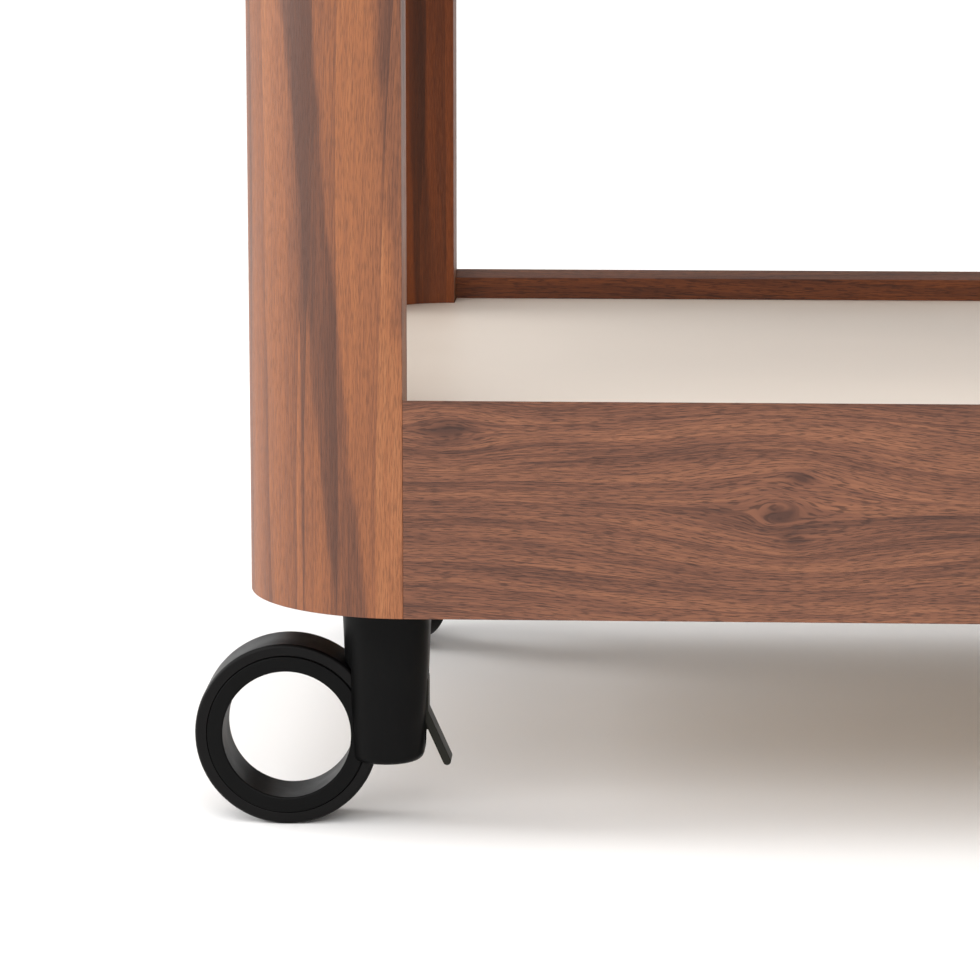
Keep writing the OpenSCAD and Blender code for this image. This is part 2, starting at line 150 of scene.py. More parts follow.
def clipped(outline, low, high):
    """The part of an outline with its second coordinate between low and high."""
    for limit, side in ((low, 1), (high, -1)):
        made = []
        for a, b in zip(outline, outline[1:] + outline[:1]):
            a_in, b_in = side * (a.y - limit) >= 0, side * (b.y - limit) >= 0
            if a_in:
                made.append(a)
            if a_in != b_in:
                made.append(a.lerp(b, (limit - a.y) / (b.y - a.y)))
        outline = made
    return outline


def post_outline():
    """Quarter shell around the origin, in the quarter where x and y are negative."""
    return arc((0, 0), corner_r, 180, 270) + arc((0, 0), corner_r - POST_T, 270, 180)


def inside_outline(gap):
    """Plan of the frame's inside, with a gap to the posts and the rails."""
    across = -rail_lo.y - rail_t - gap
    along = -side_lo.x - rail_t - gap
    step_x, step_y = arc_x - gap, arc_y - gap
    radius = corner_r - POST_T - gap
    lean = math.degrees(math.asin(gap / radius))
    corner = [Vector((-along, -step_y))]
    corner += arc((-arc_x, -arc_y), radius, 180 - lean, 270 + lean, ARC_STEPS // 2)
    corner += [Vector((-step_x, -across))]
    half = corner + [Vector((-p.x, p.y)) for p in reversed(corner)]
    return half + [Vector((p.x, -p.y)) for p in reversed(half)]


def rail_outline(height):
    """Section of a rail from its outer lower edge; its top falls towards the inside."""
    return [
        Vector((0, 0)),
        Vector((rail_t, 0)),
        Vector((rail_t, height - RAIL_FALL)),
        Vector((0, height)),
    ]


# ---- Meshes ----


def loft(sections):
    """A closed mesh through sections of equally many points, capped at both ends."""
    bm = bmesh.new()
    rows = [[bm.verts.new(p) for p in section] for section in sections]
    count = len(rows[0])
    for low, high in zip(rows, rows[1:]):
        for i in range(count):
            k = (i + 1) % count
            bm.faces.new((low[i], low[k], high[k], high[i]))
    bm.faces.new(rows[0][::-1])
    bm.faces.new(rows[-1])
    bmesh.ops.recalc_face_normals(bm, faces=bm.faces[:])
    return bm


def prism(outline, low, high, ease, matrix=Matrix()):
    """An extruded outline whose edges are all rounded by the ease, placed by the matrix."""
    outline = eased(outline, ease)
    quarter = [math.pi / 2 * k / EASE_STEPS for k in range(EASE_STEPS + 1)]
    cuts = [ease * (1 - math.sin(a)) * INSET_SHARE for a in quarter]
    ends = [(cut, ease * (1 - math.cos(a))) for cut, a in zip(cuts, quarter)]
    levels = [(d, low + h) for d, h in ends] + [(d, high - h) for d, h in ends[::-1]]
    return loft(
        [[matrix @ Vector((*p, z)) for p in inset(outline, d)] for d, z in levels]
    )


def lathe(profile, matrix, segments=RING_SEGMENTS):
    """A ring: a closed profile of (radius, height) points turned around +Z."""
    bm = bmesh.new()
    profile = tidy([Vector(p) for p in profile])
    turns = [math.tau * k / segments for k in range(segments)]
    rows = []
    for a in turns:
        points = [Vector((p.x * math.cos(a), p.x * math.sin(a), p.y)) for p in profile]
        rows.append([bm.verts.new(matrix @ point) for point in points])
    for k, row in enumerate(rows):
        following = rows[(k + 1) % segments]
        for i in range(len(profile)):
            j = (i + 1) % len(profile)
            bm.faces.new((row[i], row[j], following[j], following[i]))
    bmesh.ops.recalc_face_normals(bm, faces=bm.faces[:])
    return bm


def rod(radius, low, high, matrix=Matrix(), segments=ROD_SEGMENTS):
    """A plain round cutter along +Z."""
    circle = arc((0, 0), radius, 0, 360 - 360 / segments, segments - 1)
    return loft([[matrix @ Vector((*p, z)) for p in circle] for z in (low, high)])


def block(low, high):
    """A plain box cutter between two corners."""
    (x0, y0, z0), (x1, y1, z1) = low, high
    corners = [(x0, y0), (x1, y0), (x1, y1), (x0, y1)]
    return loft([[Vector((x, y, z)) for x, y in corners] for z in (z0, z1)])


def object_of(name, bm):
    mesh = bpy.data.meshes.new(name)
    bm.to_mesh(mesh)
    bm.free()
    made = bpy.data.objects.new(name, mesh)
    bpy.context.scene.collection.objects.link(made)
    return made


def final_mesh(made):
    graph = bpy.context.evaluated_depsgraph_get()
    return bpy.data.meshes.new_from_object(made.evaluated_get(graph))


def combined(body, others, operation):
    """The body's mesh after joining or cutting with each other mesh."""
    made = object_of("work", body)
    for bm in others:
        other = object_of("other", bm)
        modifier = made.modifiers.new("combine", "BOOLEAN")
        modifier.operation = operation
        modifier.solver = "EXACT"
        modifier.object = other
        made.data = final_mesh(made)
        made.modifiers.clear()
        bpy.data.objects.remove(other)
    bm = bmesh.new()
    bm.from_mesh(made.data)
    bpy.data.objects.remove(made)
    bmesh.ops.remove_doubles(bm, verts=bm.verts[:], dist=SAME_VERTEX)
    return bm


def placed(bm, matrix):
    """A copy of a mesh, moved by a matrix that may mirror it."""
    copy = bm.copy()
    bmesh.ops.transform(copy, matrix=matrix, verts=copy.verts[:])
    if matrix.determinant() < 0:
        bmesh.ops.reverse_faces(copy, faces=copy.faces[:])
    return copy


def piece(name, bm, material, slot, body, *nodes, bevel=0.0, sharp=50):
    """A finished piece that rides on a body and stands for its CAD nodes."""
    made = object_of(name, bm)
    made.data.polygons.foreach_set("use_smooth", [True] * len(made.data.polygons))
    made.data.set_sharp_from_angle(angle=math.radians(sharp))
    made.data.materials.append(material)
    if bevel:
        rounding = made.modifiers.new("rounding", "BEVEL")
        rounding.width = bevel
        rounding.segments = 2
        rounding.limit_method = "ANGLE"
        rounding.angle_limit = math.radians(sharp)
    weighted = made.modifiers.new("normals", "WEIGHTED_NORMAL")
    weighted.keep_sharp = True
    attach(made, body)
    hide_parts(*nodes)
    return made


# ---- Materials ----


def srgb(red, green, blue):
    """A colour of 0 to 255 as the linear colour that shaders take."""
    shares = [c / 255 for c in (red, green, blue)]
    linear = [s / 12.92 if s <= 0.04045 else ((s + 0.055) / 1.055) ** 2.4 for s in shares]
    return (*linear, 1)


def add_node(tree, kind, inputs=None, **settings):
    """Adds a node; its inputs are numbers, colours or the sockets to link to them."""
    made = tree.nodes.new(kind)
    for key, value in settings.items():
        setattr(made, key, value)
    for key, value in (inputs or {}).items():
        if isinstance(value, bpy.types.NodeSocket):
            tree.links.new(value, made.inputs[key])
        else:
            made.inputs[key].default_value = value
    return made


class Graph:
    """A material's nodes, with short ways to add more."""

    def __init__(self, name, roughness=0.5, specular=0.5, metallic=0.0):
        self.material = bpy.data.materials.new(name)
        self.material.use_nodes = True
        self.tree = self.material.node_tree
        self.shader = self.tree.nodes["Principled BSDF"]
        self.shader.inputs["Roughness"].default_value = roughness
        self.shader.inputs["Specular IOR Level"].default_value = specular
        self.shader.inputs["Metallic"].default_value = metallic
        coordinates = self.add("ShaderNodeTexCoord")
        self.place = coordinates.outputs["Object"]
        self.x, self.y, self.z = self.split(self.place)
        self.normal = self.split(coordinates.outputs["Normal"])

    def add(self, kind, inputs=None, **settings):
        return add_node(self.tree, kind, inputs, **settings)

    def split(self, vector):
        return self.add("ShaderNodeSeparateXYZ", {0: vector}).outputs[:3]

    def join(self, x, y, z=0.0):
        return self.add("ShaderNodeCombineXYZ", {0: x, 1: y, 2: z}).outputs[0]

    def math(self, operation, *values):
        made = self.add("ShaderNodeMath", dict(enumerate(values)), operation=operation)
        return made.outputs[0]

    def times(self, a, b):
        return self.math("MULTIPLY", a, b)

    def plus(self, a, b):
        return self.math("ADD", a, b)

    def step(self, value, start, end, low=0.0, high=1.0):
        """Goes smoothly from low to high while the value goes from start to end."""
        inputs = {0: value, 1: start, 2: end, 3: low, 4: high}
        made = self.add("ShaderNodeMapRange", inputs, interpolation_type="SMOOTHSTEP")
        return made.outputs[0]

    def noise(self, vector, seed, scale=1.0, detail=2.0, roughness=0.5):
        inputs = {
            "Vector": vector,
            "W": seed,
            "Scale": scale,
            "Detail": detail,
            "Roughness": roughness,
        }
        return self.add("ShaderNodeTexNoise", inputs, noise_dimensions="4D").outputs[0]

    def ramp(self, value, stops):
        """A colour from stops of (position, colour)."""
        made = self.add("ShaderNodeValToRGB", {0: value})
        elements = made.color_ramp.elements
        while len(elements) < len(stops):
            elements.new(0.5)
        for element, (position, colour) in zip(elements, stops):
            element.position = position
            element.color = colour
        return made.outputs[0]

    def mix(self, share, a, b, blend="MIX"):
        inputs = {0: share, 6: a, 7: b}
        made = self.add("ShaderNodeMix", inputs, data_type="RGBA", blend_type=blend)
        return made.outputs[2]

    def finish(self, colour=None, roughness=None, height=None, depth=0.0):
        """Connects the shader and returns the material; depth is the bump's, in metres."""
        if colour is not None:
            self.tree.links.new(colour, self.shader.inputs["Base Color"])
        if roughness is not None:
            self.tree.links.new(roughness, self.shader.inputs["Roughness"])
        if height is not None:
            inputs = {"Height": height, "Distance": depth, "Strength": 1.0}
            bump = self.add("ShaderNodeBump", inputs)
            self.tree.links.new(bump.outputs[0], self.shader.inputs["Normal"])
        return self.material


# Colours of each wood, from its darkest tone to its lightest
WALNUT_POST = [
    (0.06, srgb(82, 52, 40)),
    (0.30, srgb(103, 64, 46)),
    (0.52, srgb(127, 78, 51)),
    (0.75, srgb(142, 88, 55)),
    (0.95, srgb(153, 100, 65)),
]
WALNUT_RAIL = [
    (0.12, srgb(70, 43, 33)),
    (0.36, srgb(93, 58, 43)),
    (0.55, srgb(109, 69, 51)),
    (0.72, srgb(121, 78, 56)),
    (0.92, srgb(134, 87, 63)),
]
BEECH = [
    (0.00, srgb(176, 152, 122)),
    (0.50, srgb(198, 174, 142)),
    (1.00, srgb(212, 190, 160)),
]

# Painted shade on the faces that look into the rack: what they keep of the wood's colour; and what
# end grain keeps of it
INSIDE_SHADE = (0.88, 0.58, 0.26, 1)
END_TINT = (0.62, 0.56, 0.52, 1)

# Noise in wood: changes in a metre across the grain and along it, shift of the seed, and
# detail. The growth bands' own noise has the rates of each look.
DRIFT = (6, 1.6, 0.0, 2.0)
RIPPLE = (60, 22, 1.9, 2.0)
WARP = (3.1, 3.5)
FIBRE = (1700, 34, 5.7, 3.0)
PORE = (3400, 190, 9.2, 1.0)

# Values of noise between which bands, fibres, pores and end grain's speckles show
BAND_RANGE = (0.33, 0.69)
FIBRE_RANGE = (0.28, 0.72)
PORE_RANGE = (0.50, 0.64)
SPECKLE_RANGE = (0.35, 0.65)
SPECKLE_SCALE = 900
SPECKLE_DARKNESS = 0.6
PORE_TINT = 0.5

# Growth rings: how far noise shifts them, and how late in each one its tone falls
RING_SHIFT = 2.2
RING_FALL = 2.5

# Where a streak starts to fade, as a share of its half width; how fast a knot does
STREAK_CORE = 0.55
KNOT_CORE = -4.0

# Shares of fibres and pores in the wood's relief, and its roughness from low to high
FIBRE_RELIEF = 0.4
PORE_RELIEF = 0.8
WOOD_ROUGHNESS = (0.46, 0.58)

# Depths of the bumps that the fine textures stand for
GRAIN_DEPTH = 0.07 * MM
LAMINATE_DEPTH = 0.02 * MM
PLASTIC_DEPTH = 0.03 * MM
RUBBER_DEPTH = 0.05 * MM
METAL_DEPTH = 0.02 * MM

# How far the bands of a post shift sideways for each metre below its outer face
POST_DEPTH_SHIFT = 0.4

# Step of the seed from one piece to the next that shares a material
SEED_STEP = 7.3

# Values of noise between which a cloudy surface goes from its one shade to the other
CLOUD_RANGE = (0.3, 0.7)


def wood_noise(g, across, along, seed, kind):
    """Noise stretched along the grain; its kind is a tuple like DRIFT."""
    rate_across, rate_along, shift, detail = kind
    place = g.join(g.times(across, rate_across), g.times(along, rate_along))
    return g.noise(place, g.plus(seed, shift), detail=detail)


def grain(g, across, along, end, seed, look, inside=None, knots=(), streaks=()):
    """Wood whose grain runs along one coordinate, with growth bands across the other.

    end is 0 on long-grain faces and 1 on end grain; inside is 1 on the faces that look
    into the rack, which are darkened with painted shade. Knots are (across, along, reach
    across, reach along, swell, darkness): the bands spread around them. Streaks are dark
    bands of (across, change of it along the grain, half width, darkness). look is one of
    the tuples below.
    """
    palette, bands, run, wander, rings, fibres, pores = look
    shade, straight = 0.0, across
    for at_across, at_along, reach_across, reach_along, swell, darkness in knots:
        away = g.math("SUBTRACT", straight, at_across)
        u = g.math("DIVIDE", away, reach_across)
        v = g.math("DIVIDE", g.math("SUBTRACT", along, at_along), reach_along)
        square = g.plus(g.times(u, u), g.times(v, v))
        near = g.math("EXPONENT", g.times(square, -1.0))
        across = g.math("SUBTRACT", across, g.times(g.times(near, swell), away))
        core = g.math("EXPONENT", g.times(square, KNOT_CORE))
        shade = g.plus(shade, g.times(core, darkness))
    drift = wood_noise(g, across, along, seed, DRIFT)
    across = g.plus(across, g.times(g.math("SUBTRACT", drift, 0.5), wander))
    ripple = wood_noise(g, across, along, seed, RIPPLE)
    for at_across, slope, half, darkness in streaks:
        middle = g.plus(g.times(along, slope), at_across)
        away = g.math("ABSOLUTE", g.math("SUBTRACT", across, middle))
        away = g.plus(away, g.times(g.math("SUBTRACT", ripple, 0.5), half))
        shade = g.plus(shade, g.step(away, half * STREAK_CORE, half, darkness, 0.0))
    warp = wood_noise(g, across, along, seed, (bands, run, *WARP))
    late = g.math("FRACT", g.plus(g.times(across, bands), g.times(warp, RING_SHIFT)))
    ring = g.math("SUBTRACT", 1.0, g.math("POWER", late, RING_FALL))
    fibre = wood_noise(g, across, along, seed, FIBRE)
    pore = g.step(wood_noise(g, across, along, seed, PORE), *PORE_RANGE)
    tone = g.times(g.step(warp, *BAND_RANGE), 1 - rings - fibres)
    tone = g.plus(tone, g.times(ring, rings))
    tone = g.plus(tone, g.times(g.step(fibre, *FIBRE_RANGE), fibres))
    tone = g.math("SUBTRACT", tone, shade)
    darkest = palette[0][1]
    pore_colour = tuple(c * PORE_TINT for c in darkest[:3]) + (1,)
    colour = g.mix(g.times(pore, pores), g.ramp(tone, palette), pore_colour)
    # Faces that look into the rack are darkened here: painted shade
    if inside is not None:
        colour = g.mix(inside, colour, INSIDE_SHADE, "MULTIPLY")
    speckle = g.noise(g.place, seed, scale=SPECKLE_SCALE, detail=1)
    speckle = g.step(speckle, *SPECKLE_RANGE, 0.0, SPECKLE_DARKNESS)
    ends = g.mix(speckle, g.ramp(tone, palette), darkest)
    ends = g.mix(1.0, ends, END_TINT, "MULTIPLY")
    rough = g.step(fibre, *CLOUD_RANGE, *WOOD_ROUGHNESS)
    height = g.math("SUBTRACT", g.times(fibre, FIBRE_RELIEF), g.times(pore, PORE_RELIEF))
    return g.finish(g.mix(end, colour, ends), rough, height, GRAIN_DEPTH)


def end_mask(g, axis):
    """1 where the surface faces along an axis (0 for x, 1 for y or 2 for z), else 0."""
    return g.step(g.math("ABSOLUTE", g.normal[axis]), 0.8, 0.95)


def walnut_post(corner):
    """Upright grain that follows the post's curve."""
    x_side, y_side = CORNERS[corner]
    g = Graph("walnut_post_" + corner, specular=0.3)
    x = g.math("SUBTRACT", g.times(g.x, x_side), arc_x)
    y = g.math("SUBTRACT", g.times(g.y, y_side), arc_y)
    angle = g.math("ARCTAN2", y, x)
    radius = g.math("SQRT", g.plus(g.times(x, x), g.times(y, y)))
    depth = g.math("SUBTRACT", corner_r, radius)
    way = g.times(angle, corner_r)
    across = g.math("SUBTRACT", way, g.times(depth, POST_DEPTH_SHIFT))
    seed = 2.0 + 5 * x_side + 11 * y_side
    # The post's concave inner face, which gets painted shade
    inside = g.step(depth, POST_T - MM, POST_T - WOOD_EASE)
    streaks = POST_STREAKS[corner]
    return grain(g, across, g.z, end_mask(g, 2), seed, POST_LOOK, inside, (), streaks)


def straight_wood(name, axis, weights, seed, look, pitch=None, inner=None, knots=()):
    """Wood with its grain along an axis; weights say how its bands lie in the others.

    pitch is (axis, length): the pattern changes at each length, from piece to piece.
    inner is (axis, distance): faces nearer the rack's middle than this are inside ones, with
    painted shade.
    """
    g = Graph(name, specular=0.3)
    places = (g.x, g.y, g.z)
    across, along = 0.0, places[axis]
    for place, weight in zip(places, weights):
        if weight:
            across = g.plus(across, g.times(place, weight))
    if pitch:
        index = g.math("FLOOR", g.math("DIVIDE", places[pitch[0]], pitch[1]))
        seed = g.plus(g.times(index, SEED_STEP), seed)
    inside = None
    # Faces nearer the rack's middle than the distance get painted shade
    if inner:
        distance = g.math("ABSOLUTE", places[inner[0]])
        inside = g.step(distance, inner[1] + MM, inner[1] + WOOD_EASE, 0, 1)
    return grain(g, across, along, end_mask(g, axis), seed, look, inside, knots)


def two_shades(g, cloud, low, high):
    """A colour that drifts between two shades."""
    return g.ramp(cloud, list(zip(CLOUD_RANGE, (low, high))))


def laminate():
    """Satin cream laminate with a very fine moulded texture."""
    g = Graph("cream_laminate", specular=0.4)
    cloud = g.noise(g.place, 1.0, scale=9, detail=3)
    colour = two_shades(g, cloud, srgb(223, 211, 197), srgb(228, 217, 204))
    stipple = g.noise(g.place, 2.0, scale=1500)
    rough = g.step(cloud, *CLOUD_RANGE, 0.40, 0.48)
    return g.finish(colour, rough, stipple, LAMINATE_DEPTH)


def plastic(name, low, high, roughness, specular, depth=PLASTIC_DEPTH):
    """Moulded plastic or rubber: two close shades and a fine matt texture."""
    g = Graph(name, specular=specular)
    cloud = g.noise(g.place, 4.0, scale=60, detail=3)
    colour = two_shades(g, cloud, low, high)
    stipple = g.noise(g.place, 6.0, scale=1400)
    rough = g.step(cloud, *CLOUD_RANGE, roughness - 0.04, roughness + 0.05)
    return g.finish(colour, rough, stipple, depth)


def metal(name, low, high, roughness):
    """Plated or drawn metal with fine changes of tone."""
    g = Graph(name, metallic=1.0)
    cloud = g.noise(g.place, 3.0, scale=220, detail=4)
    colour = two_shades(g, cloud, low, high)
    rough = g.step(cloud, *CLOUD_RANGE, roughness - 0.06, roughness + 0.08)
    return g.finish(colour, rough, cloud, METAL_DEPTH)


# ---- What the pieces are made of ----

SLATS = [f"deck_slat_{number}" for number in range(1, 7)]
slat_boxes = [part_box(name) for name in SLATS]
slat_pitch = slat_boxes[1][0].y - slat_boxes[0][0].y

# The front rail's knots, by their height: one by its left end, and a swell with three
KNOT_SHIFT = rail_lo.y / 2
FRONT_KNOTS = [
    (0.170 + KNOT_SHIFT, -0.267, 0.011, 0.024, 0.85, 0.45),
    (0.141 + KNOT_SHIFT, -0.133, 0.028, 0.050, 0.75, 0.05),
    (0.152 + KNOT_SHIFT, -0.129, 0.005, 0.010, 0.50, 0.40),
    (0.138 + KNOT_SHIFT, -0.137, 0.007, 0.012, 0.50, 0.55),
    (0.128 + KNOT_SHIFT, -0.131, 0.005, 0.010, 0.50, 0.35),
]

# Dark streaks of each post, by their way around its curve at the floor
POST_STREAKS = {
    "front_left": [(0.100, -0.125, 0.009, 0.34), (0.131, -0.08, 0.014, 0.36)],
    "front_right": [(0.040, 0.06, 0.010, 0.34), (0.088, -0.03, 0.006, 0.28)],
    "back_left": [(0.070, -0.05, 0.010, 0.30)],
    "back_right": [(0.030, 0.09, 0.007, 0.34), (0.085, 0.02, 0.005, 0.28)],
}

# Palette, bands per metre, how often they change in a metre along the grain, how far
# they wander, and the shares of growth rings, of fibres and of pores
POST_LOOK = (WALNUT_POST, 48, 1.2, 0.04, 0.30, 0.26, 0.34)
RAIL_LOOK = (WALNUT_RAIL, 120, 4.0, 0.07, 0.22, 0.40, 0.66)
BEECH_LOOK = (BEECH, 60, 2.0, 0.04, 0.2, 0.4, 0.25)
# Where the rails' inside faces begin, which get painted shade
INNER_Y = (1, -rail_hi.y)
INNER_X = (0, -side_hi.x)
# Grain starts anew at each multiple of this, so that rails and bearers differ
BOARD_PITCH = 0.1

front_wood = straight_wood(
    "walnut_rail_front", 0, (0, 0.5, 1), 4.0, RAIL_LOOK, None, INNER_Y, FRONT_KNOTS
)
long_wood = straight_wood(
    "walnut_rail_long", 0, (0, 0.5, 1), 15.0, RAIL_LOOK, (1, BOARD_PITCH), INNER_Y
)
side_wood = straight_wood(
    "walnut_rail_side", 1, (0.5, 0, 1), 27.0, RAIL_LOOK, (0, BOARD_PITCH), INNER_X
)
slat_wood = straight_wood("walnut_slat", 0, (0, 1, 0.5), 33.0, RAIL_LOOK, (1, slat_pitch))
bearer_wood = straight_wood(
    "walnut_bearer", 1, (1, 0, 0.6), 41.0, RAIL_LOOK, (0, BOARD_PITCH)
)
block_wood = straight_wood("walnut_block", 2, (1, 0.7, 0), 52.0, RAIL_LOOK)
beech = straight_wood("beech", 0, (0, 1, 1), 61.0, BEECH_LOOK)
cream = laminate()
black_plastic = plastic("black_plastic", srgb(6, 6, 6), srgb(9, 9, 9), 0.40, 0.08)
lever_plastic = plastic("lever_plastic", srgb(24, 23, 18), srgb(31, 30, 24), 0.5, 0.15)
rubber = plastic("black_tyre", srgb(7, 6, 6), srgb(10, 9, 9), 0.38, 0.12, RUBBER_DEPTH)
nylon = plastic("white_nylon", srgb(216, 214, 206), srgb(226, 224, 217), 0.45, 0.5)
zinc = metal("zinc_steel", srgb(170, 172, 176), srgb(196, 197, 200), 0.34)
spring = metal("spring_steel", srgb(84, 84, 88), srgb(112, 112, 116), 0.38)
brass = metal("insert_brass", srgb(176, 142, 84), srgb(200, 166, 104), 0.36)

# ---- Frame ----


def corner_matrix(x_side, y_side):
    """Takes what is drawn around a corner's arc, at front left, to that corner."""
    place = Matrix.Translation((x_side * arc_x, y_side * arc_y, 0))
    return place @ Matrix.Diagonal((-x_side, -y_side, 1, 1))


for corner, (x_side, y_side) in CORNERS.items():
    matrix = corner_matrix(x_side, y_side)
    shell = prism(post_outline(), post_lo.z, post_hi.z, WOOD_EASE, matrix)
    name = "post_" + corner
    piece(name + "_wood", shell, walnut_post(corner), "walnut", "frame", name)


def rail(name, side_rail, material):
    """A rail that replaces its CAD node; its section stands on its outer lower edge."""
    lo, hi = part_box(name)
    outline = rail_outline(hi.z - lo.z)
    if side_rail:
        outer = lo.x if lo.x < 0 else hi.x
        inwards = Vector((1 if lo.x < 0 else -1, 0, 0))
        start, end, along = lo.y, hi.y, Vector((0, 1, 0))
    else:
        outer = lo.y if lo.y < 0 else hi.y
        inwards = Vector((0, 1 if lo.y < 0 else -1, 0))
        start, end, along = lo.x, hi.x, Vector((1, 0, 0))
    columns = (inwards, Vector((0, 0, 1)), along)
    matrix = Matrix([[c[i] for c in columns] for i in range(3)]).to_4x4()
    matrix.translation = -inwards * abs(outer) + Vector((0, 0, lo.z))
    bm = prism(outline, start, end, WOOD_EASE, matrix)
    piece(name + "_wood", bm, material, "walnut", "frame", name)


rail("lower_rail_front", False, front_wood)
rail("lower_rail_back", False, long_wood)
rail("upper_rail_front", False, long_wood)
rail("upper_rail_back", False, long_wood)
for level in ("lower", "upper"):
    for side in ("left", "right"):
        rail(f"{level}_rail_{side}", True, side_wood)

# ---- Tray ----

sheet = prism(inside_outline(tray_gap), tray_lo.z, tray_hi.z, LAMINATE_EASE)
piece("tray_laminate", sheet, cream, "cream_laminate", "frame", "tray_surface")
board_lo, board_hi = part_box("tray_board")
board = prism(inside_outline(tray_gap), board_lo.z, board_hi.z, LAMINATE_EASE)
piece("tray_plywood", board, beech, "light_wood", "frame", "tray_board")

# ---- Deck ----

for name, (lo, hi) in zip(SLATS, slat_boxes):
    outline = clipped(inside_outline(DECK_GAP), lo.y, hi.y)
    outline = clipped([p.yx for p in outline], lo.x, hi.x)
    slat = prism([p.yx for p in outline], lo.z, hi.z, SLAT_EASE)
    piece(name + "_wood", slat, slat_wood, "walnut", "frame", name)

SINK_R = 4.5 * MM
SINK_DEPTH = 5 * MM


def deck_bearer(name, slat_middles):
    """A bearer with the sinks of its slat screws in its underside."""
    lo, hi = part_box(name)
    middle = (lo.x + hi.x) / 2
    corners = [(lo.x, lo.y), (hi.x, lo.y), (hi.x, hi.y), (lo.x, hi.y)]
    bar = prism([Vector(c) for c in corners], lo.z, hi.z, BEARER_EASE)
    sinks = [
        rod(SINK_R, lo.z - MM, lo.z + SINK_DEPTH, Matrix.Translation((middle, y, 0)))
        for y in slat_middles
    ]
    bar = combined(bar, sinks, "DIFFERENCE")
    piece(name + "_wood", bar, bearer_wood, "walnut", "frame", name)


slat_middles = [(lo.y + hi.y) / 2 for lo, hi in slat_boxes]
for place in ("left", "middle", "right"):
    deck_bearer("deck_bearer_" + place, slat_middles)

# ---- Casters, drawn around the swivel axis with the wheel towards -X ----


def middle_of(node):
    lo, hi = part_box(node)
    return (lo + hi) / 2


tyre_lo, tyre_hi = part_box("tyre_front_left")
ring_lo, ring_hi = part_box("wheel_ring_front_left")
housing_lo, housing_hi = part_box("housing_front_left")
swivel = middle_of("swivel_bush_front_left")
trail = swivel.x - middle_of("tyre_front_left").x
tyre_r = (tyre_hi.z - tyre_lo.z) / 2
tyre_half = (tyre_hi.y - tyre_lo.y) / 2
rib_r = (ring_hi.z - ring_lo.z) / 2
ring_half = (ring_hi.y - ring_lo.y) / 2
top_r = housing_hi.x - swivel.x
spread = (housing_hi.y - housing_lo.y) / 2 - top_r

# Radii are around each part's own axis; X is from the swivel axis and Z from the floor
RUN_GAP = 0.05 * MM
RIB_HEIGHT = 0.9 * MM
RIB_HALF = 2.5 * MM
RIB_PLAY = 0.1 * MM
HOLE_R = 26.2 * MM
TYRE_SHOULDER = 1.5 * MM
GROOVE_EASE = 0.55 * MM
HOLE_EASE = 0.9 * MM
FOOT_R = 15.2 * MM
FOOT_ROUND = 3.0 * MM
TOP_ROUND = 0.5 * MM
ROUND_STEPS = 6
HALF_ROUND_STEPS = 24
HOUSING_EASE = 0.25 * MM
SLOT_GAP = 1.0 * MM
SIDE_GAP = 0.02 * MM
CHEEK_X = 13.8 * MM
CHEEK_TOP = 66 * MM
BUSH_R = 7.52 * MM
BUSH_Z = 59.5 * MM
ring_r = rib_r - RIB_HEIGHT
AT_WHEEL = Matrix.Translation((-trail, 0, tyre_r)) @ Matrix.Rotation(math.pi / 2, 4, "X")
SIDEWAYS = Matrix.Rotation(math.pi / 2, 4, "X")


def tyre_mesh():
    inner, groove_r, groove_half = ring_r + RUN_GAP, rib_r + RUN_GAP, RIB_HALF + RIB_PLAY
    profile = [(inner, -tyre_half), (tyre_r, -tyre_half), (tyre_r, tyre_half)]
    profile += [(inner, tyre_half), (inner, groove_half), (groove_r, groove_half)]
    profile += [(groove_r, -groove_half), (inner, -groove_half)]

    def ease(p):
        if p.x > groove_r + MM:
            return TYRE_SHOULDER
        return GROOVE_EASE if abs(p.y) > groove_half + MM else RIB_PLAY / 2

    return lathe(eased([Vector(p) for p in profile], ease), AT_WHEEL)


def ring_mesh():
    profile = [(HOLE_R, -ring_half), (ring_r, -ring_half), (ring_r, -RIB_HALF)]
    profile += [(rib_r, -RIB_HALF), (rib_r, RIB_HALF), (ring_r, RIB_HALF)]
    profile += [(ring_r, ring_half), (HOLE_R, ring_half)]

    def ease(p):
        if p.x < HOLE_R + MM:
            return HOLE_EASE
        return GROOVE_EASE if abs(p.y) > RIB_HALF + MM else RIB_PLAY

    return lathe(eased([Vector(p) for p in profile], ease), AT_WHEEL)


def stadium(radius):
    """Two half circles across the caster, joined by straight sides."""
    left = arc((0, spread), radius, 0, 180, HALF_ROUND_STEPS)
    return left + arc((0, -spread), radius, 180, 360, HALF_ROUND_STEPS)


def column_mesh():
    """The housing before anything is cut: a tapered column with a rounded foot."""
    low, high = housing_lo.z, housing_hi.z
    taper = (top_r - FOOT_R) / (high - low)
    angles = [math.pi / 2 * k / ROUND_STEPS for k in range(ROUND_STEPS + 1)]
    levels = []
    for a in angles:
        cut = FOOT_ROUND * (1 - math.sin(a))
        levels.append((low + FOOT_ROUND * (1 - math.cos(a)), cut))
    for a in angles[::-2]:
        cut = TOP_ROUND * (1 - math.sin(a))
        levels.append((high - TOP_ROUND * (1 - math.cos(a)), cut))
    sections = []
    for z, cut in levels:
        outline = stadium(FOOT_R + taper * (z - low) - cut)
        sections.append([Vector((*p, z)) for p in outline])
    return loft(sections)


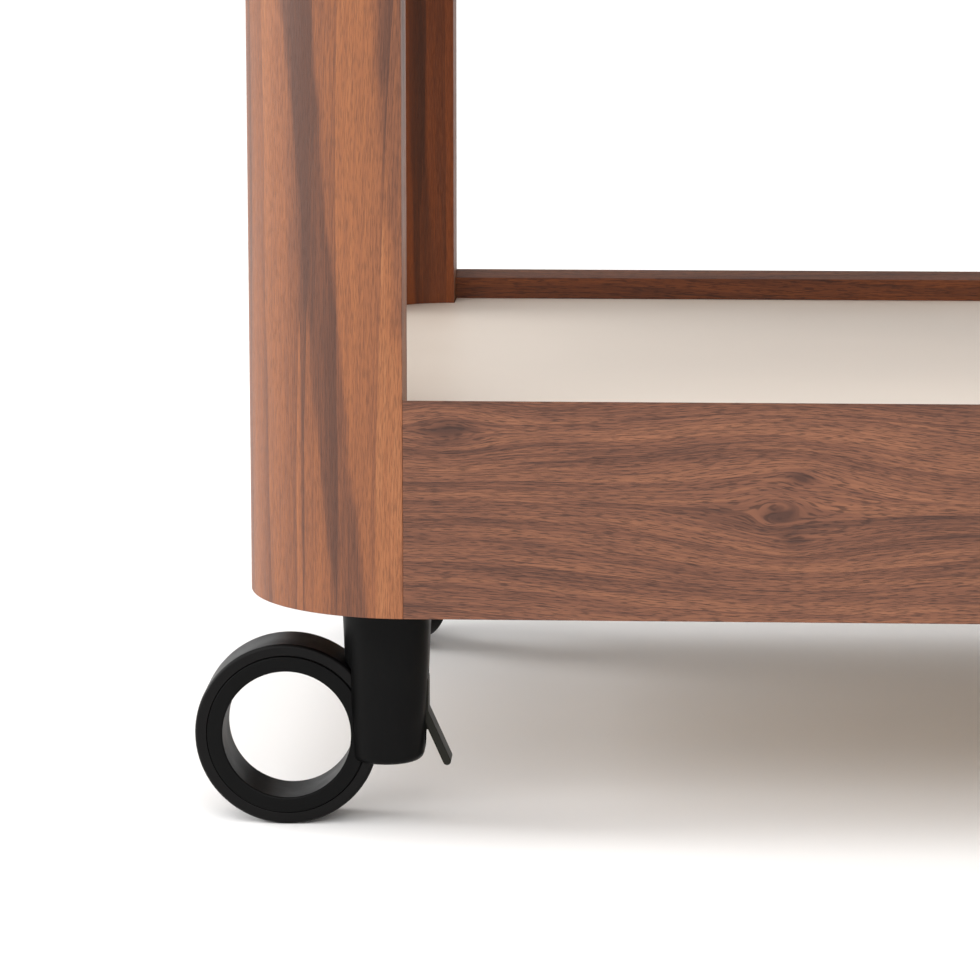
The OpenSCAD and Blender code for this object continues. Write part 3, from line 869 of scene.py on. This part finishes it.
LEVER_HALF = 6 * MM
LEVER_ROOM = 0.3 * MM
NOSE_HALF = 4 * MM
PIVOT = Vector((14.2, 58.5)) * MM
PIVOT_PIN_R = 1.5 * MM
PIVOT_PIN_FRONT = 8 * MM
EYE_R = 2.7 * MM
LEVER_T = 3.3 * MM
LEVER_LEAN = math.radians(24)
BEND_Z = 46.2 * MM
FOOT_L = 24 * MM
NOSE_Z = (38 * MM, 45.5 * MM)
PRESS_ANGLE = 8
PAD_GAP = 0.35 * MM
RECESS_X = 11 * MM
RECESS_LOW_X = 12 * MM
RECESS_Z = (31 * MM, 42.5 * MM, 62 * MM)
CHANNEL_Z = (36.5 * MM, 49.5 * MM)
RING_PIN_R = 1.02 * MM
RING_PIN_X = 10.45 * MM
RING_PIN_Z = 6 * MM
PLATE_EASE = 0.5 * MM
NOSE_EASE = 0.3 * MM
EYE_STEPS = 20
TIP_STEPS = 12
NOSE_STEPS = 8
RING_PIN_SEGMENTS = 24
LEVER_PIN_SEGMENTS = 32
FAR = 60 * MM


def housing_cuts(with_brake):
    """What is cut out of the column: wheel slot, bush and pin holes, room for the lever."""
    half = ring_half + SIDE_GAP
    slot = rod(tyre_r + SLOT_GAP, -half, half, AT_WHEEL, RING_SEGMENTS)
    cuts = [slot, block((-FAR, -FAR, -FAR), (-CHEEK_X, FAR, CHEEK_TOP))]
    cuts.append(rod(BUSH_R, BUSH_Z, FAR + BUSH_Z))
    for z in (tyre_r - RING_PIN_Z, tyre_r + RING_PIN_Z):
        at_pin = Matrix.Translation((-RING_PIN_X, 0, z)) @ SIDEWAYS
        cuts.append(rod(RING_PIN_R, -FAR, 0, at_pin, RING_PIN_SEGMENTS))
    if with_brake:
        half = LEVER_HALF + LEVER_ROOM
        cuts.append(block((RECESS_X, -half, RECESS_Z[1]), (FAR, half, RECESS_Z[2])))
        low_end = RECESS_Z[1] + LEVER_ROOM
        cuts.append(block((RECESS_LOW_X, -half, RECESS_Z[0]), (FAR, half, low_end)))
        half = NOSE_HALF + LEVER_ROOM
        cuts.append(block((-FAR, -half, CHANNEL_Z[0]), (FAR, half, CHANNEL_Z[1])))
        at_pin = Matrix.Translation((PIVOT.x, 0, PIVOT.y)) @ SIDEWAYS
        cuts.append(rod(PIVOT_PIN_R, -FAR, PIVOT_PIN_FRONT, at_pin, LEVER_PIN_SEGMENTS))
    return cuts


def lever_mesh():
    """The brake lever: eye, upper part, leaning foot, and the nose that meets the tyre."""
    face = PIVOT.x + EYE_R
    down = Vector((math.sin(LEVER_LEAN), -math.cos(LEVER_LEAN)))
    inward = Vector((-math.cos(LEVER_LEAN), -math.sin(LEVER_LEAN)))
    tip = Vector((face, BEND_Z)) + (FOOT_L - LEVER_T / 2) * down + LEVER_T / 2 * inward
    neck = math.degrees(math.asin((EYE_R - LEVER_T) / EYE_R))
    lean = math.degrees(LEVER_LEAN)
    plate = arc(PIVOT, EYE_R, 0, 270 + neck, EYE_STEPS)
    plate.append(Vector((face - LEVER_T, BEND_Z - LEVER_T * math.tan(LEVER_LEAN / 2))))
    plate += arc(tip, LEVER_T / 2, lean + 180, lean + 360, TIP_STEPS)
    plate.append(Vector((face, BEND_Z)))

    def in_foot(z):
        return face - LEVER_T / 2 + (BEND_Z - z) * math.tan(LEVER_LEAN)

    turned = Vector((-trail, tyre_r)) - PIVOT
    turned.rotate(Matrix.Rotation(math.radians(PRESS_ANGLE), 2))
    wheel = PIVOT + turned
    reach = tyre_r + PAD_GAP
    ends = [math.degrees(math.asin((z - wheel.y) / reach)) for z in NOSE_Z]
    nose = arc(wheel, reach, ends[1], ends[0], NOSE_STEPS)
    nose += [Vector((in_foot(z), z)) for z in NOSE_Z]
    bar = prism(plate, -LEVER_HALF, LEVER_HALF, PLATE_EASE, SIDEWAYS)
    nose = prism(nose, -NOSE_HALF, NOSE_HALF, NOSE_EASE, SIDEWAYS)
    lever = combined(bar, [nose], "UNION")
    at_pin = Matrix.Translation((PIVOT.x, 0, PIVOT.y)) @ SIDEWAYS
    hole = rod(PIVOT_PIN_R + RUN_GAP, -FAR, FAR, at_pin, LEVER_PIN_SEGMENTS)
    return combined(lever, [hole], "DIFFERENCE")


def caster_matrix(corner):
    """Takes a caster from its own place to its corner, turned as it rests."""
    axis = middle_of("swivel_bush_" + corner)
    wheel = middle_of("tyre_" + corner)
    mirrored = CORNERS[corner][0] > 0
    side = -1 if mirrored else 1
    angle = math.atan2(wheel.y - axis.y, side * (wheel.x - axis.x))
    place = Matrix.Translation((axis.x, axis.y, 0)) @ Matrix.Diagonal((side, 1, 1, 1))
    return place @ Matrix.Rotation(angle - math.pi, 4, "Z")


tyre_shape, ring_shape, lever_shape = tyre_mesh(), ring_mesh(), lever_mesh()
housings = {
    "front": combined(column_mesh(), housing_cuts(True), "DIFFERENCE"),
    "back": combined(column_mesh(), housing_cuts(False), "DIFFERENCE"),
}
for corner, (x_side, y_side) in CORNERS.items():
    matrix = caster_matrix(corner)
    caster, end = "caster_" + corner, corner.split("_")[0]
    shape = placed(housings[end], matrix)
    piece(
        "housing_shell_" + corner, shape, black_plastic, "black_plastic", caster,
        "housing_" + corner, bevel=HOUSING_EASE,
    )
    shape = placed(ring_shape, matrix)
    piece("ring_" + corner, shape, black_plastic, "black_plastic", caster, "wheel_ring_" + corner)
    shape = placed(tyre_shape, matrix)
    piece("tread_" + corner, shape, rubber, "black_tyre", "wheel_" + corner, "tyre_" + corner)
    if y_side < 0:
        side = corner.split("_")[1]
        shape = placed(lever_shape, matrix)
        name = "brake_lever_" + side
        piece(name + "_plate", shape, lever_plastic, "lever_plastic", "brake_" + side, name)

# ---- CAD pieces that keep their shape ----

KEPT = {
    "caster_block_": block_wood,
    "rail_dowels": beech,
    "bearer_dowels": beech,
    "slat_screws": zinc,
    "board_screws": zinc,
    "block_screws": zinc,
    "threaded_inserts": brass,
    "caster_spindles": zinc,
    "spindle_clips": spring,
    "swivel_bush_": nylon,
    "ring_pins_": zinc,
    "brake_pin_": zinc,
}
for name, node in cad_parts.items():
    for start, material in KEPT.items():
        if name.startswith(start):
            node.data.materials.clear()
            node.data.materials.append(material)

# ---- Floor, light and camera ----

FLOOR_REACH = 6
FLOOR_DEPTH = 0.02

floor_low = (-FLOOR_REACH, -FLOOR_REACH, -FLOOR_DEPTH)
floor = object_of("floor", block(floor_low, (FLOOR_REACH, FLOOR_REACH, 0)))
floor_graph = Graph("pale_floor", roughness=0.6, specular=0.2)
cloud = floor_graph.noise(floor_graph.place, 1.0, scale=4, detail=3)
pale = two_shades(floor_graph, cloud, srgb(243, 242, 241), srgb(246, 245, 244))
floor.data.materials.append(floor_graph.finish(pale))

# The sky is brightest around one direction; haze near the horizon is pale all round
SKY_BASE = 0.50
SKY_GAIN = 2.35
SKY_SHARPNESS = 3.0
SKY_MIDDLE = Vector((-0.28, -0.52, 0.81)).normalized()
HAZE_LIGHT = 1.05
HAZE_FROM = 0.22
HAZE_TO = 0.36


def studio_sky():
    """The world, whose light is only a strength that depends on the direction."""
    world = bpy.data.worlds.new("studio")
    world.use_nodes = True
    sky = world.node_tree
    direction = add_node(sky, "ShaderNodeTexCoord").outputs["Generated"]
    inputs = {0: direction, 1: SKY_MIDDLE}
    toward = add_node(sky, "ShaderNodeVectorMath", inputs, operation="DOT_PRODUCT")
    light = toward.outputs["Value"]
    steps = [("MAXIMUM", 0.0), ("POWER", SKY_SHARPNESS), ("MULTIPLY", SKY_GAIN), ("ADD", SKY_BASE)]
    for operation, number in steps:
        inputs = {0: light, 1: number}
        light = add_node(sky, "ShaderNodeMath", inputs, operation=operation).outputs[0]
    rise = add_node(sky, "ShaderNodeSeparateXYZ", {0: direction}).outputs["Z"]
    inputs = {0: rise, 1: HAZE_FROM, 2: HAZE_TO, 3: HAZE_LIGHT, 4: 0.0}
    haze = add_node(sky, "ShaderNodeMapRange", inputs, interpolation_type="SMOOTHSTEP")
    inputs = {0: light, 1: haze.outputs[0]}
    light = add_node(sky, "ShaderNodeMath", inputs, operation="MAXIMUM").outputs[0]
    background = sky.nodes["Background"]
    background.inputs["Color"].default_value = (1, 1, 1, 1)
    sky.links.new(light, background.inputs["Strength"])
    return world


def aimed(name, data, place, direction):
    """A light or camera that looks along a direction, with its top upwards."""
    made = bpy.data.objects.new(name, data)
    made.location = place
    made.rotation_mode = "QUATERNION"
    made.rotation_quaternion = direction.to_track_quat("-Z", "Y")
    bpy.context.scene.collection.objects.link(made)
    return made


def softbox(name, place, target, size, power):
    """A rectangular light; the power is in watts."""
    light = bpy.data.lights.new(name, "AREA")
    light.shape = "RECTANGLE"
    light.size, light.size_y = size
    light.energy = power
    aimed(name, light, place, Vector(target) - Vector(place))


bpy.context.scene.world = studio_sky()
bpy.context.scene.view_settings.view_transform = "Standard"
softbox("key", (-2.5, 0.25, 0.95), (-0.3, 0, 0.25), (1.2, 1.0), 34)
softbox("front", (0.5, -2.6, 1.7), (0, 0, 0.15), (2.0, 0.9), 22)

# The camera's place and the way it looks; its sensor and lens are in millimetres
CAMERA_PLACE = Vector((-0.18524, -1.72843, 0.42084))
CAMERA_LOOK = Vector((-0.0418, 0.9833, -0.1774))
SENSOR_WIDTH = 36
FOCAL_LENGTH = 145.37

lens = bpy.data.cameras.new("camera")
lens.sensor_width = SENSOR_WIDTH
lens.lens = FOCAL_LENGTH
bpy.context.scene.camera = aimed("camera", lens, CAMERA_PLACE, CAMERA_LOOK)
